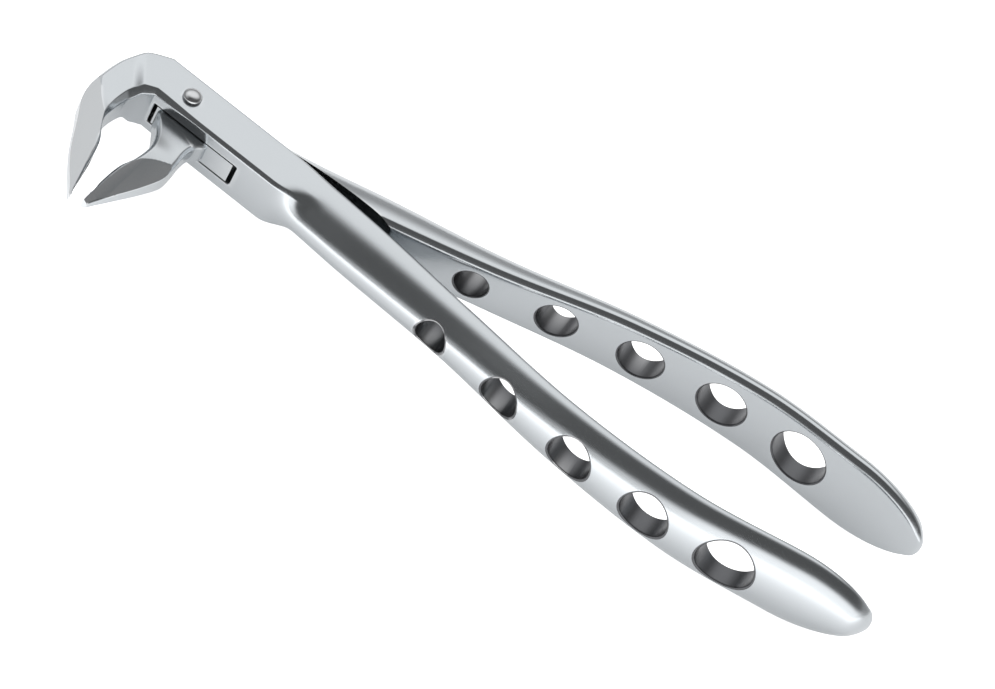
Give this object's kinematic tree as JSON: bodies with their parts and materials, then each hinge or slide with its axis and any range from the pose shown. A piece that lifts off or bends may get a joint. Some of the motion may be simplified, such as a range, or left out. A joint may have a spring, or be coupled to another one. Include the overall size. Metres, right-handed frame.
{
  "type": "extraction forceps",
  "caption": "English-pattern forceps for lower teeth: box joint on a pivot rivet, beaks bent down at a right angle, straight handles with round finger holes.",
  "frame": {"origin": "on the pivot axis, at the rivet's flush end in the lower cheek", "axes": "+X along the line that halves the angle between the handles, towards their ends; +Z along the pivot axis towards the rivet's domed head; the beaks point to -Y"},
  "size_m": [0.1604, 0.0488, 0.0163],
  "materials": {
    "satin_steel": "satin, fine grain along the handles",
    "polished_steel": "polished dome"
  },
  "bodies": {
    "female": {"female_half": "satin_steel", "pivot_rivet": "polished_steel"},
    "male": {"male_half": "satin_steel"}
  },
  "joints": [
    {"name": "pivot", "type": "hinge", "parent": "female", "child": "male", "pos_m": [0, 0, 0], "axis": [0, 0, 1], "range_deg": [-1.5, 20]}
  ]
}
